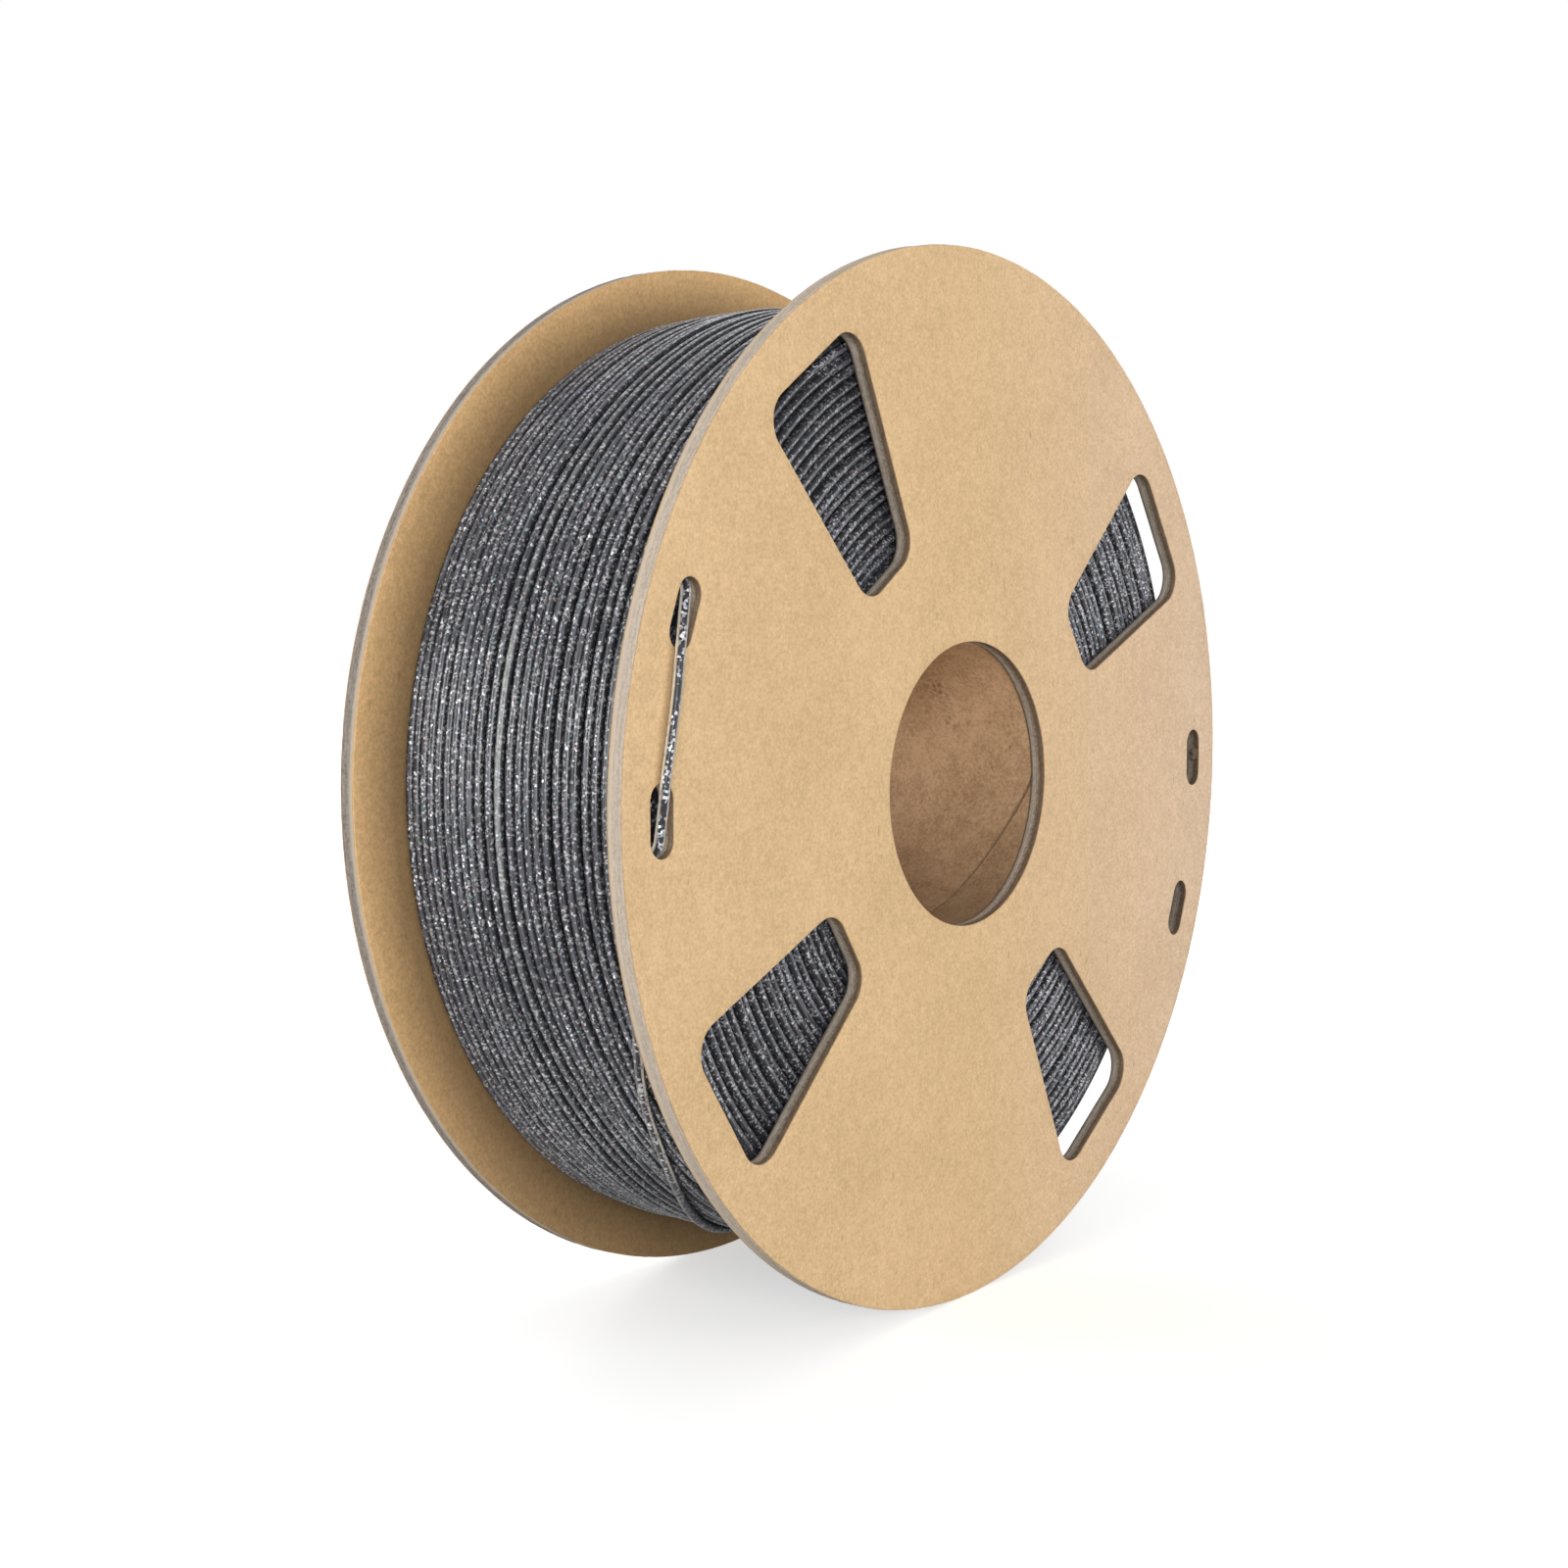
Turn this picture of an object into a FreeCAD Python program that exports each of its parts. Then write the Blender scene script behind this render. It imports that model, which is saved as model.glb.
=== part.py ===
import FreeCAD, Part
import math
import os

from FreeCAD import Vector

# A cardboard filament spool, nearly full, standing on the rims of its two flanges.
# The origin is the middle of the spool on the axis of its bore. The axis lies along Y,
# the front flange is at -Y and the rear flange at +Y. X points right and Z points up.
# All sizes are in millimetres, and angles round the axis go from +X towards +Z.

# Flanges
FLANGE_DIAMETER = 200.0
BORE_DIAMETER = 54.2
INNER_WIDTH = 57.6
LINER_THICKNESS = 0.3
BOARD_THICKNESS = 0.9
LINER_RIM_SETBACK = 0.1

# Windows in the front flange: openings with straight sides that widen towards the rim.
# The rear flange has neither windows nor slots.
WINDOW_COUNT = 4
WINDOW_FIRST_ANGLE = 34.0
WINDOW_INNER_EDGE = 46.8
WINDOW_RIM_WIDTH = 9.7
WINDOW_INNER_WIDTH = 17.2
WINDOW_OUTER_WIDTH = 32.2
WINDOW_CORNER_RADIUS = 5.5

# Slots in the front flange, in two pairs, which hold the free end of the filament
SLOT_PAIR_ANGLES = (169.2, -10.8)
SLOT_PAIR_SPREAD = 21.4
SLOT_RIM_DISTANCE = 9.7
SLOT_LENGTH = 12.3
SLOT_WIDTH = 5.8

# Core tube: a spiral-wound tube of two thick layers between two thin plies
TUBE_LEDGE = 0.4
THIN_PLY = 0.5
INNER_BODY_WALL = 2.5
OUTER_BODY_WALL = 2.0
GLUE_THICKNESS = 0.2
GLUE_INSET = 0.6

# Filament
FILAMENT_DIAMETER = 1.75
WINDING_RIM_DISTANCE = 9.6
REAR_TURNS_RISE = 0.3
LAYER_CLEARANCE = 0.12
WINDING_SIDE_CLEARANCE = 0.3
WINDING_TUBE_CLEARANCE = 0.15
TOP_TURNS_FRONT_GAP = 2.3
TOP_LAYER_WIDTH = 31.5
TOP_TURN_PITCH = 2.35
TOP_TURNS_END_ANGLE = 258.0
LAYER_EDGE_GAP = 2.55
REAR_TURN_PITCH = 2.23
REAR_TURNS_START_ANGLE = 60.0
TURN_SIDE_CLEARANCE = 0.32
STRAIGHT_END = FILAMENT_DIAMETER
NICK_CLEARANCE = 0.08
ARC_SAMPLES = 24

# Route of the free end after it leaves the top turns: the angle round the axis, the distance
# in from the flange's rim and the depth behind the front face. It crosses the top layer to the
# front flange, goes out through the lower slot, up the face and in through the upper slot.
FREE_END_ROUTE = [
    (252.8, 9.5, 37.5),
    (248.5, 8.5, 36.2),
    (242.0, 8.35, 32.5),
    (236.0, 8.35, 28.3),
    (231.0, 8.35, 24.9),
    (226.0, 8.35, 21.8),
    (220.5, 8.35, 19.1),
    (215.0, 8.35, 17.0),
    (210.0, 8.35, 14.9),
    (204.3, 8.4, 11.8),
    (199.0, 8.45, 9.2),
    (194.0, 8.5, 7.3),
    (190.0, 8.65, 6.0),
    (187.5, 8.8, 5.1),
    (185.3, 9.1, 4.3),
    (182.9, 10.0, 1.35),
    (180.9, 9.7, 0.45),
    (178.5, 9.3, -0.5),
    (176.0, 9.0, -1.08),
    (172.0, 9.6, -1.2),
    (166.9, 9.75, -1.3),
    (163.0, 8.95, -1.25),
    (160.2, 9.05, -0.55),
    (157.5, 9.5, 0.6),
    (155.4, 9.7, 1.45),
    (153.9, 9.2, 4.2),
    (151.3, 8.9, 4.6),
    (147.5, 8.85, 5.0),
]
FIRST_LEAD = 2.4
ARC_SHARE = 0.45

# Sizes that follow from the ones above
FLANGE_RADIUS = FLANGE_DIAMETER / 2
BORE_RADIUS = BORE_DIAMETER / 2
LAYERS = (
    ("outer_liner", LINER_THICKNESS),
    ("outer_board", BOARD_THICKNESS),
    ("middle_board", BOARD_THICKNESS),
    ("inner_board", BOARD_THICKNESS),
    ("inner_liner", LINER_THICKNESS),
)
FLANGE_THICKNESS = sum(thickness for name, thickness in LAYERS)
FRONT_FACE = -INNER_WIDTH / 2 - FLANGE_THICKNESS
FRONT_INNER_FACE = -INNER_WIDTH / 2
REAR_INNER_FACE = INNER_WIDTH / 2
WINDOW_OUTER_EDGE = FLANGE_RADIUS - WINDOW_RIM_WIDTH
SLOT_RADIUS = FLANGE_RADIUS - SLOT_RIM_DISTANCE
FILAMENT_RADIUS = FILAMENT_DIAMETER / 2
TOP_TURN_RADIUS = FLANGE_RADIUS - WINDING_RIM_DISTANCE - FILAMENT_RADIUS
REAR_TURN_RADIUS = TOP_TURN_RADIUS + REAR_TURNS_RISE
TUBE_INNER_RADIUS = BORE_RADIUS + TUBE_LEDGE


def on_circle(angle, radius, y):
    """Return the point at an angle and a distance from the spool's axis."""
    turn = math.radians(angle)
    return Vector(radius * math.cos(turn), y, radius * math.sin(turn))


def save(shape, node):
    """Write one piece to its own file and print what it holds."""
    if not shape.isValid():
        raise ValueError(node + " isn't a valid solid")
    shape.exportStep("parts/" + node + ".step")
    print(f"{node}: {len(shape.Solids)} solid, {shape.Volume:.1f} mm3")


def ring(inner_radius, outer_radius, start, end):
    """Return a plain ring about the Y axis."""
    base = Vector(0, start, 0)
    axis = Vector(0, 1, 0)
    outside = Part.makeCylinder(outer_radius, end - start, base, axis)
    inside = Part.makeCylinder(inner_radius, end - start, base, axis)
    return outside.cut(inside)


# Flanges

def rounded_outline(corners, radius):
    """Return a closed outline through corners, with an arc of one radius at each."""
    count = len(corners)
    arcs = []
    for index in range(count):
        corner = corners[index]
        before = (corners[index - 1] - corner).normalize()
        after = (corners[(index + 1) % count] - corner).normalize()
        half_angle = before.getAngle(after) / 2
        setback = radius / math.tan(half_angle)
        middle = (before + after).normalize()
        reach = radius / math.sin(half_angle) - radius
        arcs.append((corner + before * setback, corner + middle * reach, corner + after * setback))
    edges = []
    for index in range(count):
        start, middle, end = arcs[index]
        edges.append(Part.Arc(start, middle, end).toShape())
        edges.append(Part.LineSegment(end, arcs[(index + 1) % count][0]).toShape())
    return Part.Wire(edges)


def window_outline(angle, y):
    """Return one window's outline, whose straight outer edge is square to its angle."""
    turn = math.radians(angle)
    outward = Vector(math.cos(turn), 0, math.sin(turn))
    sideways = Vector(-math.sin(turn), 0, math.cos(turn))
    middle = Vector(0, y, 0)
    half_inner = WINDOW_INNER_WIDTH / 2
    half_outer = WINDOW_OUTER_WIDTH / 2
    corners = [
        middle + outward * WINDOW_INNER_EDGE - sideways * half_inner,
        middle + outward * WINDOW_OUTER_EDGE - sideways * half_outer,
        middle + outward * WINDOW_OUTER_EDGE + sideways * half_outer,
        middle + outward * WINDOW_INNER_EDGE + sideways * half_inner,
    ]
    return rounded_outline(corners, WINDOW_CORNER_RADIUS)


def slot_outline(angle, y):
    """Return one slot's outline: a round-ended slot that lies along the rim."""
    turn = math.radians(angle)
    outward = Vector(math.cos(turn), 0, math.sin(turn))
    along = Vector(-math.sin(turn), 0, math.cos(turn))
    centre = Vector(0, y, 0) + outward * SLOT_RADIUS
    half_width = outward * (SLOT_WIDTH / 2)
    straight = along * ((SLOT_LENGTH - SLOT_WIDTH) / 2)
    tip = along * (SLOT_LENGTH / 2)
    edges = [
        Part.LineSegment(centre - straight + half_width, centre + straight + half_width).toShape(),
        Part.Arc(centre + straight + half_width, centre + tip, centre + straight - half_width).toShape(),
        Part.LineSegment(centre + straight - half_width, centre - straight - half_width).toShape(),
        Part.Arc(centre - straight - half_width, centre - tip, centre - straight + half_width).toShape(),
    ]
    return Part.Wire(edges)


def slot_angles():
    """Return the angle of each slot: two to a pair."""
    angles = []
    for pair in SLOT_PAIR_ANGLES:
        angles.append(pair - SLOT_PAIR_SPREAD / 2)
        angles.append(pair + SLOT_PAIR_SPREAD / 2)
    return angles


def flange_layer(outer_radius, y, thickness, with_openings):
    """Return one die-cut layer of a flange, with its bore and any windows and slots."""
    axis = Vector(0, 1, 0)
    centre = Vector(0, y, 0)
    outlines = [
        Part.Wire([Part.Circle(centre, axis, outer_radius).toShape()]),
        Part.Wire([Part.Circle(centre, axis, BORE_RADIUS).toShape()]),
    ]
    if with_openings:
        for index in range(WINDOW_COUNT):
            outlines.append(window_outline(WINDOW_FIRST_ANGLE + index * 360 / WINDOW_COUNT, y))
        for angle in slot_angles():
            outlines.append(slot_outline(angle, y))
    face = Part.makeFace(outlines, "Part::FaceMakerBullseye")
    return face.extrude(axis * thickness).Solids[0]


def make_flange(side, cutter):
    """Write the five layers of one flange, from its outer skin inwards."""
    front = side == "front"
    depth = 0.0
    for name, thickness in LAYERS:
        y = FRONT_FACE + depth if front else -FRONT_FACE - depth - thickness
        radius = FLANGE_RADIUS - (LINER_RIM_SETBACK if "liner" in name else 0)
        layer = flange_layer(radius, y, thickness, front)
        if front:
            layer = layer.cut(cutter).Solids[0]
        save(layer, side + "_" + name)
        depth += thickness


# Core tube

def make_core_tube():
    """Write the tube's four nested layers and the adhesive at its two ends."""
    start = FRONT_INNER_FACE + GLUE_THICKNESS
    end = REAR_INNER_FACE - GLUE_THICKNESS
    walls = (
        ("core_inner_ply", THIN_PLY),
        ("core_inner_body", INNER_BODY_WALL),
        ("core_outer_body", OUTER_BODY_WALL),
        ("core_outer_ply", THIN_PLY),
    )
    radius = TUBE_INNER_RADIUS
    for node, wall in walls:
        save(ring(radius, radius + wall, start, end), node)
        radius += wall
    glue_inner = TUBE_INNER_RADIUS + GLUE_INSET
    glue_outer = radius - GLUE_INSET
    save(ring(glue_inner, glue_outer, FRONT_INNER_FACE, start), "front_glue_ring")
    save(ring(glue_inner, glue_outer, end, REAR_INNER_FACE), "rear_glue_ring")
    return radius


# Filament

def helix_place(radius, start_angle, start_y, pitch, degrees):
    """Return the point and direction of a winding that turns clockwise, seen from the front."""
    angle = start_angle - degrees
    place = on_circle(angle, radius, start_y + pitch * degrees / 360)
    turn = math.radians(angle)
    direction = Vector(math.sin(turn), pitch / (2 * math.pi * radius), -math.cos(turn))
    return place, direction.normalize()


def tangent_arc(start, corner, end):
    """Return the arc from start to end whose two tangents meet at corner."""
    chord_middle = (start + end) / 2
    turn = (corner - start).getAngle(end - corner) / 2
    middle = chord_middle + (corner - chord_middle) * (math.tan(turn / 2) / math.tan(turn))
    return Part.Arc(start, middle, end)


def two_arcs(start, start_direction, end, end_direction):
    """Return two arcs that meet smoothly and join two points in given directions."""
    span = end - start
    total = start_direction + end_direction
    square = 4 - total.dot(total)
    linear = 2 * span.dot(total)
    reach = (-linear + math.sqrt(linear ** 2 + 4 * square * span.dot(span))) / (2 * square)
    first_corner = start + start_direction * reach
    second_corner = end - end_direction * reach
    joint = (first_corner + second_corner) / 2
    return [tangent_arc(start, first_corner, joint), tangent_arc(joint, second_corner, end)]


def tube_along(edges, start, direction, radius):
    """Return the solid tube of one radius along a chain of edges."""
    profile = Part.Wire([Part.Circle(start, direction, radius).toShape()])
    return Part.Wire(edges).makePipeShell([profile], True, False)


def least_gap(points, turn_points, diameter):
    """Return the least gap between one turn of a tube and the next, of turn_points points each."""
    least = math.inf
    for index, place in enumerate(points[:-turn_points - 1]):
        ahead = range(index + turn_points // 2, min(index + turn_points * 3 // 2, len(points) - 1))
        nearest = min(ahead, key=lambda other: place.distanceToPoint(points[other]))
        course = points[nearest + 1] - points[nearest]
        least = min(least, place.distanceToLine(points[nearest], course))
    return least - diameter


def make_turns(node, radius, start_angle, start_y, pitch, turn_count):
    """Write one layer of turns as an unbroken tube and return where it ends."""
    steps = math.ceil(turn_count * 2)
    degrees = [turn_count * 360 * index / steps for index in range(steps + 1)]
    places = [helix_place(radius, start_angle, start_y, pitch, value) for value in degrees]
    first, first_direction = places[0]
    last, last_direction = places[-1]
    start = first - first_direction * STRAIGHT_END
    end = last + last_direction * STRAIGHT_END
    curves = [Part.LineSegment(start, first)]
    for (here, direction), (there, next_direction) in zip(places, places[1:]):
        curves += two_arcs(here, direction, there, next_direction)
    curves.append(Part.LineSegment(last, end))
    edges = [curve.toShape() for curve in curves]
    tube = tube_along(edges, start, first_direction, FILAMENT_RADIUS)
    points = []
    for edge in edges[1:-1]:
        points += edge.discretize(ARC_SAMPLES + 1)[:-1]
    gap = least_gap(points, ARC_SAMPLES * 4, FILAMENT_DIAMETER)
    print(f"{node}: least gap between turns {gap:.2f} mm")
    save(tube, node)
    return end, last_direction


def rounded_route(points):
    """Return straight runs through points joined by tangent arcs, and the arcs' radii."""
    edges = []
    radii = []
    reached = points[0]
    for before, corner, after in zip(points, points[1:], points[2:]):
        shorter = min((before - corner).Length, (after - corner).Length)
        cut = ARC_SHARE * shorter
        arc_start = corner + (before - corner).normalize() * cut
        arc_end = corner + (after - corner).normalize() * cut
        half_turn = (corner - before).getAngle(after - corner) / 2
        radii.append(cut / math.tan(half_turn))
        edges.append(Part.LineSegment(reached, arc_start).toShape())
        edges.append(tangent_arc(arc_start, corner, arc_end).toShape())
        reached = arc_end
    edges.append(Part.LineSegment(reached, points[-1]).toShape())
    return edges, radii


def make_free_end(start, direction):
    """Write the free end and return a slightly thicker tube that cuts its nicks."""
    points = [start, start + direction * FIRST_LEAD]
    for angle, rim_distance, depth in FREE_END_ROUTE:
        points.append(on_circle(angle, FLANGE_RADIUS - rim_distance, FRONT_FACE + depth))
    edges, radii = rounded_route(points)
    print("free end: arc radii " + ", ".join(f"{radius:.1f}" for radius in radii))
    tube = tube_along(edges, start, direction, FILAMENT_RADIUS)
    length = sum(edge.Length for edge in edges)
    expected = math.pi * FILAMENT_RADIUS ** 2 * length
    print(f"free end: length {length:.1f} mm, volume {tube.Volume:.2f}, section x length {expected:.2f}")
    save(tube, "filament_free_end")
    return tube_along(edges, start, direction, FILAMENT_RADIUS + NICK_CLEARANCE)


def make_inner_layers(tube_radius, step_y):
    """Write the wound layers under the visible turns, which lie a little higher at the rear."""
    inner_radius = tube_radius + WINDING_TUBE_CLEARANCE
    front_radius = TOP_TURN_RADIUS - FILAMENT_RADIUS - LAYER_CLEARANCE
    rear_radius = REAR_TURN_RADIUS - FILAMENT_RADIUS - LAYER_CLEARANCE
    start = FRONT_INNER_FACE + WINDING_SIDE_CLEARANCE
    end = REAR_INNER_FACE - WINDING_SIDE_CLEARANCE
    corners = [
        Vector(inner_radius, start, 0),
        Vector(front_radius, start, 0),
        Vector(front_radius, step_y, 0),
        Vector(rear_radius, step_y, 0),
        Vector(rear_radius, end, 0),
        Vector(inner_radius, end, 0),
    ]
    section = Part.Face(Part.makePolygon(corners + corners[:1]))
    save(section.revolve(Vector(0, 0, 0), Vector(0, 1, 0), 360), "filament_inner_layers")


def main():
    os.makedirs("parts", exist_ok=True)
    tube_radius = make_core_tube()

    top_start_y = FRONT_INNER_FACE + TOP_TURNS_FRONT_GAP + FILAMENT_RADIUS
    top_end_y = top_start_y + TOP_LAYER_WIDTH
    top_count = TOP_LAYER_WIDTH / TOP_TURN_PITCH
    top_start_angle = TOP_TURNS_END_ANGLE + top_count * 360
    free_start, free_direction = make_turns(
        "filament_top_turns", TOP_TURN_RADIUS, top_start_angle, top_start_y, TOP_TURN_PITCH, top_count)

    rear_start_y = top_end_y + LAYER_EDGE_GAP
    rear_end_y = REAR_INNER_FACE - TURN_SIDE_CLEARANCE - FILAMENT_RADIUS
    rear_count = (rear_end_y - rear_start_y) / REAR_TURN_PITCH
    make_turns(
        "filament_rear_turns", REAR_TURN_RADIUS, REAR_TURNS_START_ANGLE, rear_start_y, REAR_TURN_PITCH,
        rear_count)

    make_inner_layers(tube_radius, (top_end_y + rear_start_y) / 2)
    nick_cutter = make_free_end(free_start, free_direction)
    make_flange("front", nick_cutter)
    make_flange("rear", None)


main()
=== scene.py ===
"""Looks for a cardboard filament spool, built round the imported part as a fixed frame."""
import math

import bmesh
import bpy
import numpy as np
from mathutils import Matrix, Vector
from mathutils.geometry import delaunay_2d_cdt


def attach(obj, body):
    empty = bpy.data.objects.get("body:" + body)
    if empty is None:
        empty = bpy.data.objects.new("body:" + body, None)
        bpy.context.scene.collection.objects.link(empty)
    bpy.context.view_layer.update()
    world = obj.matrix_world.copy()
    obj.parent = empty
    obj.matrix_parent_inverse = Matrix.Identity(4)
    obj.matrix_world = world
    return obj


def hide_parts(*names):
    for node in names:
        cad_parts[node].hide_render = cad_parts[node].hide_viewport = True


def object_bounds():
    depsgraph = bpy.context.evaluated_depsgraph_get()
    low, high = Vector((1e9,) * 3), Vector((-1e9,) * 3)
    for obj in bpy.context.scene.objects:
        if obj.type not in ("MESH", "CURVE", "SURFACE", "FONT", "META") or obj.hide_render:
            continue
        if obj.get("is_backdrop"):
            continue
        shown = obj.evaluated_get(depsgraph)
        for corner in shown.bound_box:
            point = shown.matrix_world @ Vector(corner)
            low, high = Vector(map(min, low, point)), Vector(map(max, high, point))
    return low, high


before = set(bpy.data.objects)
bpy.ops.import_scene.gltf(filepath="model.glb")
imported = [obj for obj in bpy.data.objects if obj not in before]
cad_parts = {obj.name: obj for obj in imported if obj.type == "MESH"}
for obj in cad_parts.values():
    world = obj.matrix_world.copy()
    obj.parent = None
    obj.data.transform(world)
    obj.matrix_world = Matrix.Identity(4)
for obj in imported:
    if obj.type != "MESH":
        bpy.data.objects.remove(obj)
cad_low, cad_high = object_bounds()

# Sizes in millimetres. FRONT is the Y of the front flange's outer face, and depths are measured behind it.

MM = 0.001
FRONT = -32.1
FLANGE_RADIUS = 100.0
FLANGE_THICKNESS = 3.3
INNER_WIDTH = 57.6
BORE_RADIUS = 27.1
WINDOW_ANGLES = (34.0, 124.0, 214.0, 304.0)
WINDOW_INNER_RADIUS = 46.8
WINDOW_OUTER_RADIUS = 90.3
WINDOW_INNER_WIDTH = 17.2
WINDOW_OUTER_WIDTH = 32.2
WINDOW_CORNER_RADIUS = 5.5
SLOT_ANGLES = (158.5, 179.9, -21.5, -0.1)
SLOT_RADIUS = 90.3
SLOT_STRAIGHT = 6.5
SLOT_WIDTH = 5.8
TUBE_INNER_RADIUS = 27.5
TUBE_PLY_THICKNESS = 0.5
TUBE_OUTER_RADIUS = 33.2
STRAND_RADIUS = 0.875

OUTLINE_STEP = 0.5
SLOT_OUTLINE_STEP = 0.35
ARC_PARTS = 14
RNG = np.random.default_rng(7)


# Points and meshes

def unit(vectors):
    """Returns the vectors at length one."""
    return vectors / np.linalg.norm(vectors, axis=-1, keepdims=True)


def ease(value):
    """Returns a soft step from 0 to 1."""
    value = np.clip(value, 0, 1)
    return value * value * (3 - 2 * value)


def on_ring(radius, angle, depth):
    """Returns points from their distances from the axis, angles in radians and depths."""
    return np.stack([radius * np.cos(angle), depth + FRONT, radius * np.sin(angle)], -1)


def add_object(name, data):
    """Puts a mesh, lamp or camera in the scene as an object."""
    item = bpy.data.objects.new(name, data)
    bpy.context.scene.collection.objects.link(item)
    return item


def make_piece(name, points, faces, smooth=True):
    """Makes a mesh object from points in millimetres."""
    mesh = bpy.data.meshes.new(name)
    mesh.from_pydata((np.asarray(points) * MM).tolist(), [], faces)
    mesh.polygons.foreach_set("use_smooth", [smooth] * len(mesh.polygons))
    mesh.update()
    return add_object(name, mesh)


def smooth_by_angle(piece, degrees=35):
    """Marks edges sharper than an angle, so that flat faces and walls shade apart."""
    bm = bmesh.new()
    bm.from_mesh(piece.data)
    bmesh.ops.recalc_face_normals(bm, faces=bm.faces)
    limit = math.radians(degrees)
    for edge in bm.edges:
        edge.smooth = not (len(edge.link_faces) == 2 and edge.calc_face_angle(0) > limit)
    bm.to_mesh(piece.data)
    bm.free()


def smooth_noise(count, period, closed=True):
    """Returns count smooth random values of about unit size, one new value every period samples."""
    knots = max(4, int(round(count / period)))
    values = RNG.normal(size=knots)
    place = np.arange(count) * knots / count
    low = np.floor(place).astype(int)
    part = ease(place - low)
    if not closed:
        values = np.append(values, values[-1])
        return values[np.minimum(low, knots)] * (1 - part) + values[np.minimum(low + 1, knots)] * part
    return values[low % knots] * (1 - part) + values[(low + 1) % knots] * part


def tube_faces(ring_count, sides, first=0):
    """Returns the faces of a tube with closed ends, whose points lie ring after ring from number first on."""
    row = np.arange(ring_count - 1)[:, None] * sides
    here = np.arange(sides)[None, :]
    there = (here + 1) % sides
    quads = np.stack([row + here, row + there, row + sides + there, row + sides + here], -1).reshape(-1, 4)
    start = np.arange(sides)[::-1]
    end = (ring_count - 1) * sides + np.arange(sides)
    return [(face + first).tolist() for face in (*quads, start, end)]


def strand(points, radius, sides, first=0):
    """Returns the points and faces of a round strand along a path, and where each point lies on it."""
    path = np.asarray(points, float)
    course = unit(np.gradient(path, axis=0))
    out = unit(path * [1, 0, 1])
    out = unit(out - course * (out * course).sum(1)[:, None])
    side = np.cross(course, out)
    turn = np.arange(sides) * 2 * math.pi / sides
    rings = (path[:, None] + radius * (np.cos(turn)[None, :, None] * out[:, None]
                                      + np.sin(turn)[None, :, None] * side[:, None]))
    along = np.concatenate([[0], np.cumsum(np.linalg.norm(np.diff(path, axis=0), axis=1))])
    places = np.zeros((len(path), sides, 3))
    places[..., 0] = along[:, None]
    places[..., 1] = turn[None]
    return rings.reshape(-1, 3), tube_faces(len(path), sides, first), places.reshape(-1, 3)


def line_round(angle, half_width, sides):
    """Returns how near each of a strand's sides is to a line along it, from 1 on the line to 0."""
    away = np.degrees(np.arange(sides) * 2 * math.pi / sides) - angle
    away = np.abs((away + 180) % 360 - 180)
    return np.clip(1 - away / half_width, 0, 1)


def strands_piece(name, paths, sides=12, facing=0.0, pale=None):
    """Makes one piece of several strands. facing is the angle round each strand at which it faces outwards.

    pale says for each point of the mesh how strong a painted highlight the strand has there, and below zero
    how much painted shade darkens it.
    """
    vertices = []
    faces = []
    places = []
    count = 0
    for number, path in enumerate(paths):
        new_vertices, new_faces, new_places = strand(path, STRAND_RADIUS, sides, count)
        vertices.append(new_vertices)
        faces += new_faces
        places.append(new_places - [0, facing, -number])
        count += len(new_vertices)
    piece = make_piece(name, np.concatenate(vertices), faces)
    wound = piece.data.attributes.new("wound", "FLOAT_VECTOR", "POINT")
    wound.data.foreach_set("vector", np.concatenate(places).astype(np.float32).ravel())
    if pale is not None:
        painted_light = piece.data.attributes.new("painted_light", "FLOAT", "POINT")
        painted_light.data.foreach_set("value", np.ravel(pale).astype(np.float32))
    return piece


# Flanges

def circle_outline(radius):
    """Returns a circle's points about the axis."""
    count = int(round(2 * math.pi * radius / OUTLINE_STEP))
    turn = np.arange(count) * 2 * math.pi / count
    return np.stack([radius * np.cos(turn), radius * np.sin(turn)], 1)


def resample(points, step):
    """Returns a closed outline's points spaced evenly along it."""
    closed = np.vstack([points, points[:1]])
    lengths = np.linalg.norm(np.diff(closed, axis=0), axis=1)
    along = np.concatenate([[0], np.cumsum(lengths)])
    count = int(round(along[-1] / step))
    wanted = np.arange(count) * along[-1] / count
    return np.stack([np.interp(wanted, along, closed[:, axis]) for axis in range(2)], 1)


def rounded_corner(corner, before, after, radius):
    """Returns the arc of a radius that rounds a corner between two points."""
    to_before = unit(before - corner)
    to_after = unit(after - corner)
    half = math.acos(np.clip(np.dot(to_before, to_after), -1, 1)) / 2
    centre = corner + unit(to_before + to_after) * radius / math.sin(half)
    start = corner + to_before * radius / math.tan(half) - centre
    end = corner + to_after * radius / math.tan(half) - centre
    total = math.atan2(start[0] * end[1] - start[1] * end[0], np.dot(start, end))
    arc = []
    for index in range(ARC_PARTS + 1):
        turn = total * index / ARC_PARTS
        cosine, sine = math.cos(turn), math.sin(turn)
        arc.append(centre + [start[0] * cosine - start[1] * sine, start[0] * sine + start[1] * cosine])
    return arc


def window_outline(angle):
    """Returns the outline of a window, wider at the rim, with rounded corners."""
    turn = math.radians(angle)
    outward = np.array([math.cos(turn), math.sin(turn)])
    sideways = np.array([-math.sin(turn), math.cos(turn)])
    inner = outward * WINDOW_INNER_RADIUS
    outer = outward * WINDOW_OUTER_RADIUS
    inner_side = sideways * WINDOW_INNER_WIDTH / 2
    outer_side = sideways * WINDOW_OUTER_WIDTH / 2
    corners = [inner - inner_side, outer - outer_side, outer + outer_side, inner + inner_side]
    points = []
    for index, corner in enumerate(corners):
        before, after = corners[index - 1], corners[(index + 1) % 4]
        points += rounded_corner(corner, before, after, WINDOW_CORNER_RADIUS)
    return resample(np.array(points), OUTLINE_STEP)


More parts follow.
